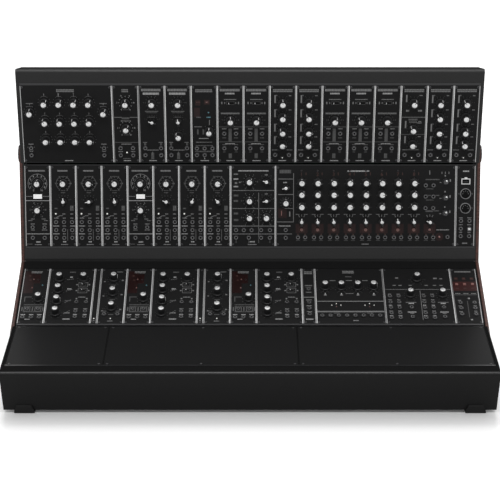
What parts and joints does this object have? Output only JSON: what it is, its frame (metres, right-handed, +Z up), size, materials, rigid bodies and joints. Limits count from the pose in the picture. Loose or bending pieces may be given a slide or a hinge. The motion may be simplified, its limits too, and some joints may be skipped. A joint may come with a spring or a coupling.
{
  "type": "modular synthesizer",
  "caption": "Modular synthesizer: angled rack cases of knob, switch and jack panels, stacked and joined by wooden side brackets, on a folding tilt stand.",
  "frame": {"origin": "middle of the base rectangle, on the table plane that the front feet and the open stand touch", "axes": "+X to the right as the player sees it, +Y away from the player, +Z up"},
  "size_m": [0.7316, 0.3896, 0.455],
  "materials": {
    "case_paint": "satin black",
    "panel_paint": "fine matte black",
    "bracket_wood": "satin oiled dark wood",
    "rail_metal": "satin black anodised",
    "circuit_board": "matte",
    "foot_rubber": "matte",
    "knob_plastic": "satin",
    "button_plastic": "gloss",
    "steel": "satin"
  },
  "bodies": {
    "cases": {"lower_case": "case_paint", "lower_rail_frame": "rail_metal", "lower_bus_board": "circuit_board", "voice_modules_left": "panel_paint", "voice_modules_centre": "panel_paint", "voice_modules_right": "panel_paint", "mixer_module": "panel_paint", "output_module": "panel_paint", "clock_module": "panel_paint", "blank_panel_left": "panel_paint", "blank_panel_centre": "panel_paint", "blank_panel_right": "panel_paint", "front_left_foot": "foot_rubber", "front_right_foot": "foot_rubber", "rear_left_foot": "foot_rubber", "rear_right_foot": "foot_rubber", "upper_case": "case_paint", "upper_rail_frame": "rail_metal", "upper_bus_board": "circuit_board", "filter_bank_module": "panel_paint", "noise_and_filter_modules": "panel_paint", "level_meter_module": "panel_paint", "amplifier_modules_left": "panel_paint", "envelope_modules_left": "panel_paint", "amplifier_modules_right": "panel_paint", "envelope_modules_right": "panel_paint", "oscillator_modules_left": "panel_paint", "oscillator_modules_right": "panel_paint", "sequential_switch_module": "panel_paint", "sequencer_module": "panel_paint", "midi_interface_module": "panel_paint", "left_bracket": "bracket_wood", "right_bracket": "bracket_wood"},
    "left_voice_cutoff_knob": {"left_voice_cutoff_knob": "knob_plastic"},
    "centre_voice_cutoff_knob": {"centre_voice_cutoff_knob": "knob_plastic"},
    "right_voice_cutoff_knob": {"right_voice_cutoff_knob": "knob_plastic"},
    "mixer_channel_knob": {"mixer_channel_knob": "knob_plastic"},
    "output_volume_knob": {"output_volume_knob": "knob_plastic"},
    "filter_bank_level_knob": {"filter_bank_level_knob": "knob_plastic"},
    "noise_filter_knob": {"noise_filter_knob": "knob_plastic"},
    "meter_level_knob": {"meter_level_knob": "knob_plastic"},
    "amplifier_gain_knob": {"amplifier_gain_knob": "knob_plastic"},
    "envelope_attack_knob": {"envelope_attack_knob": "knob_plastic"},
    "driver_tune_knob": {"driver_tune_knob": "knob_plastic"},
    "oscillator_tune_knob": {"oscillator_tune_knob": "knob_plastic"},
    "switch_speed_knob": {"switch_speed_knob": "knob_plastic"},
    "sequencer_step_knob": {"sequencer_step_knob": "knob_plastic"},
    "sequencer_rate_knob": {"sequencer_rate_knob": "knob_plastic"},
    "oscillator_range_selector": {"oscillator_range_selector": "knob_plastic"},
    "sequencer_step_selector": {"sequencer_step_selector": "knob_plastic"},
    "sequencer_top_toggle": {"sequencer_top_toggle": "steel"},
    "sequencer_middle_toggle": {"sequencer_middle_toggle": "steel"},
    "sequencer_bottom_toggle": {"sequencer_bottom_toggle": "steel"},
    "sequencer_step_button": {"sequencer_step_button": "button_plastic"},
    "lower_power_switch": {"lower_power_switch": "knob_plastic"},
    "upper_power_switch": {"upper_power_switch": "knob_plastic"},
    "lower_tilt_stand": {"lower_tilt_stand": "steel"},
    "upper_tilt_stand": {"upper_tilt_stand": "steel"},
    "left_clamp_knob": {"left_clamp_knob": "knob_plastic"},
    "right_clamp_knob": {"right_clamp_knob": "knob_plastic"}
  },
  "joints": [
    {"name": "left_voice_cutoff_knob_turn", "type": "hinge", "parent": "cases", "child": "left_voice_cutoff_knob", "pos_m": [-0.2986, 0.05992, 0.12912], "axis": [0, -0.377, 0.9262], "range_deg": [-150, 150]},
    {"name": "centre_voice_cutoff_knob_turn", "type": "hinge", "parent": "cases", "child": "centre_voice_cutoff_knob", "pos_m": [-0.13604, 0.05992, 0.12912], "axis": [0, -0.377, 0.9262], "range_deg": [-150, 150]},
    {"name": "right_voice_cutoff_knob_turn", "type": "hinge", "parent": "cases", "child": "right_voice_cutoff_knob", "pos_m": [0.02652, 0.05992, 0.12912], "axis": [0, -0.377, 0.9262], "range_deg": [-150, 150]},
    {"name": "mixer_channel_knob_turn", "type": "hinge", "parent": "cases", "child": "mixer_channel_knob", "pos_m": [0.11696, 0.04124, 0.12152], "axis": [0, -0.377, 0.9262], "range_deg": [-150, 150]},
    {"name": "output_volume_knob_turn", "type": "hinge", "parent": "cases", "child": "output_volume_knob", "pos_m": [0.26151, 0.05992, 0.12912], "axis": [0, -0.377, 0.9262], "range_deg": [-150, 150]},
    {"name": "filter_bank_level_knob_turn", "type": "hinge", "parent": "cases", "child": "filter_bank_level_knob", "pos_m": [-0.3418, 0.11247, 0.38627], "axis": [0, -0.9893, -0.1456], "range_deg": [-150, 150]},
    {"name": "noise_filter_knob_turn", "type": "hinge", "parent": "cases", "child": "noise_filter_knob", "pos_m": [-0.19304, 0.11026, 0.40127], "axis": [0, -0.9893, -0.1456], "range_deg": [-150, 150]},
    {"name": "meter_level_knob_turn", "type": "hinge", "parent": "cases", "child": "meter_level_knob", "pos_m": [-0.06401, 0.11711, 0.35474], "axis": [0, -0.9893, -0.1456], "range_deg": [-150, 150]},
    {"name": "amplifier_gain_knob_turn", "type": "hinge", "parent": "cases", "child": "amplifier_gain_knob", "pos_m": [-0.03048, 0.11445, 0.37279], "axis": [0, -0.9893, -0.1456], "range_deg": [-150, 150]},
    {"name": "envelope_attack_knob_turn", "type": "hinge", "parent": "cases", "child": "envelope_attack_knob", "pos_m": [0.0508, 0.11026, 0.40127], "axis": [0, -0.9893, -0.1456], "range_deg": [-150, 150]},
    {"name": "driver_tune_knob_turn", "type": "hinge", "parent": "cases", "child": "driver_tune_knob", "pos_m": [-0.33528, 0.12041, 0.26899], "axis": [0, -0.9883, 0.1525], "range_deg": [-150, 150]},
    {"name": "oscillator_tune_knob_turn", "type": "hinge", "parent": "cases", "child": "oscillator_tune_knob", "pos_m": [-0.13208, 0.12041, 0.26899], "axis": [0, -0.9883, 0.1525], "range_deg": [-150, 150]},
    {"name": "switch_speed_knob_turn", "type": "hinge", "parent": "cases", "child": "switch_speed_knob", "pos_m": [-0.00082, 0.11621, 0.24181], "axis": [0, -0.9883, 0.1525], "range_deg": [-150, 150]},
    {"name": "sequencer_step_knob_turn", "type": "hinge", "parent": "cases", "child": "sequencer_step_knob", "pos_m": [0.08169, 0.12056, 0.27], "axis": [0, -0.9883, 0.1525], "range_deg": [-150, 150]},
    {"name": "sequencer_rate_knob_turn", "type": "hinge", "parent": "cases", "child": "sequencer_rate_knob", "pos_m": [0.05657, 0.1157, 0.23851], "axis": [0, -0.9883, 0.1525], "range_deg": [-150, 150]},
    {"name": "oscillator_range_selector_turn", "type": "hinge", "parent": "cases", "child": "oscillator_range_selector", "pos_m": [-0.29464, 0.11604, 0.24067], "axis": [0, -0.9883, 0.1525], "range_deg": [-75, 75]},
    {"name": "sequencer_step_selector_turn", "type": "hinge", "parent": "cases", "child": "sequencer_step_selector", "pos_m": [0.08169, 0.11108, 0.20854], "axis": [0, -0.9883, 0.1525], "range_deg": [-75, 75]},
    {"name": "sequencer_top_toggle_flip", "type": "hinge", "parent": "cases", "child": "sequencer_top_toggle", "pos_m": [0.3089, 0.11882, 0.27183], "axis": [1, 0, 0], "range_deg": [0, 24]},
    {"name": "sequencer_middle_toggle_flip", "type": "hinge", "parent": "cases", "child": "sequencer_middle_toggle", "pos_m": [0.3089, 0.11496, 0.24681], "axis": [1, 0, 0], "range_deg": [0, 24]},
    {"name": "sequencer_bottom_toggle_flip", "type": "hinge", "parent": "cases", "child": "sequencer_bottom_toggle", "pos_m": [0.3089, 0.11124, 0.22268], "axis": [1, 0, 0], "range_deg": [0, 24]},
    {"name": "sequencer_step_button_press", "type": "slide", "parent": "cases", "child": "sequencer_step_button", "axis": [0, 0.9883, -0.1525], "range_m": [0, 0.0015], "stiffness_N_per_m": 250, "springref_m": -0.002},
    {"name": "lower_power_switch_rock", "type": "hinge", "parent": "cases", "child": "lower_power_switch", "pos_m": [-0.2411, 0.05593, 0.05742], "axis": [1, 0, 0], "range_deg": [-16, 0]},
    {"name": "upper_power_switch_rock", "type": "hinge", "parent": "cases", "child": "upper_power_switch", "pos_m": [-0.2411, 0.17818, 0.38555], "axis": [1, 0, 0], "range_deg": [-16, 0]},
    {"name": "lower_tilt_stand_fold", "type": "hinge", "parent": "cases", "child": "lower_tilt_stand", "pos_m": [0, 0.09486, 0.05808], "axis": [1, 0, 0], "range_deg": [-94, 0]},
    {"name": "upper_tilt_stand_unfold", "type": "hinge", "parent": "cases", "child": "upper_tilt_stand", "pos_m": [0, 0.18681, 0.42352], "axis": [1, 0, 0], "range_deg": [0, 94]},
    {"name": "left_clamp_knob_turn", "type": "hinge", "parent": "cases", "child": "left_clamp_knob", "pos_m": [-0.362, 0.14411, 0.31116], "axis": [-1, 0, 0], "range_deg": [-180, 180]},
    {"name": "right_clamp_knob_turn", "type": "hinge", "parent": "cases", "child": "right_clamp_knob", "pos_m": [0.362, 0.14411, 0.31116], "axis": [1, 0, 0], "range_deg": [-180, 180]}
  ]
}
